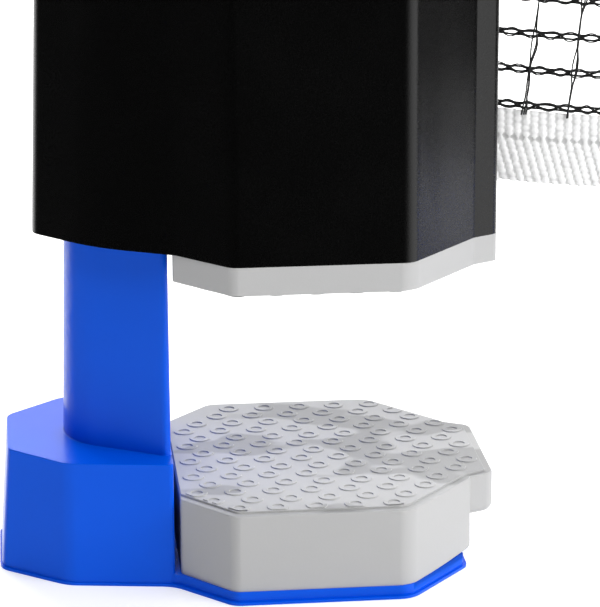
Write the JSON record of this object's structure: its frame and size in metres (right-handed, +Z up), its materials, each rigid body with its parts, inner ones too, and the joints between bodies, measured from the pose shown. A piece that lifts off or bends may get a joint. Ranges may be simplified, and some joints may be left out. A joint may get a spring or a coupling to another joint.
{
  "type": "retractable table tennis net set",
  "caption": "Two spring-clamp posts joined by a roll-up table tennis net: black housings, blue sliding jaws with grey ringed pads, mesh net with white tapes.",
  "frame": {"origin": "on the surface that the feet stand on, midway between the two posts", "axes": "+Z up; the net runs along X, post A with the reel at -X and post B at +X"},
  "size_m": [0.2818, 0.074, 0.2263],
  "materials": {
    "black_shell": "fine-grained moulded black plastic with a soft sheen",
    "clamp_blue": "satin moulded plastic, strong blue",
    "upper_pad_grey": "light grey soft rubber with raised rings",
    "lower_pad_grey": "grey soft rubber with raised rings",
    "bright_steel": "zinc-plated steel",
    "spring_steel": "drawn spring wire and strip",
    "black_screws": "black-oxide countersunk screws",
    "reel_plastic": "dark grey acetal",
    "net_cord": "knitted black cord",
    "net_tape": "white woven tape"
  },
  "bodies": {
    "post_a": {"housing_a": "black_shell", "top_cap_a": "black_shell", "cap_screws_a": "black_screws", "base_plate_a": "black_shell", "base_screws_a": "black_screws", "upper_pad_a": "upper_pad_grey", "clamp_rod_a": "bright_steel", "rod_nuts_a": "bright_steel", "rod_washers_a": "bright_steel", "clamp_spring_a": "spring_steel", "spindle": "bright_steel", "reel_washer": "reel_plastic"},
    "jaw_a": {"jaw_a": "clamp_blue", "lower_pad_a": "lower_pad_grey", "foot_cover_a": "clamp_blue", "cover_screws_a": "black_screws"},
    "reel": {"reel_core": "reel_plastic", "net_roll": "net_cord", "recoil_spring": "spring_steel"},
    "post_b": {"housing_b": "black_shell", "top_cap_b": "black_shell", "cap_screws_b": "black_screws", "base_plate_b": "black_shell", "base_screws_b": "black_screws", "upper_pad_b": "upper_pad_grey", "clamp_rod_b": "bright_steel", "rod_nuts_b": "bright_steel", "rod_washers_b": "bright_steel", "clamp_spring_b": "spring_steel", "net_anchor": "bright_steel", "bottom_tape": "net_tape", "net_mesh": "net_cord", "top_tape": "net_tape"},
    "jaw_b": {"jaw_b": "clamp_blue", "lower_pad_b": "lower_pad_grey", "foot_cover_b": "clamp_blue", "cover_screws_b": "black_screws"}
  },
  "joints": [
    {"name": "net_pull", "type": "slide", "parent": "post_a", "child": "post_b", "axis": [1, 0, 0], "range_m": [-0.078, 1.65], "stiffness_N_per_m": 2, "springref_m": -0.3, "deforming": ["bottom_tape", "net_mesh", "top_tape"]},
    {"name": "reel_spin", "type": "hinge", "parent": "post_a", "child": "reel", "pos_m": [-0.0773, 0, 0.0628], "axis": [0, 0, 1], "range_deg": [-275, 5680]},
    {"name": "clamp_slide_a", "type": "slide", "parent": "post_a", "child": "jaw_a", "axis": [0, 0, 1], "range_m": [-0.006, 0.042], "deforming": ["clamp_spring_a"]},
    {"name": "clamp_slide_b", "type": "slide", "parent": "post_b", "child": "jaw_b", "axis": [0, 0, 1], "range_m": [-0.006, 0.042], "deforming": ["clamp_spring_b"]}
  ],
  "couplings": [
    {"joint": "reel_spin", "follows": "net_pull", "rad_per_m": 60}
  ]
}
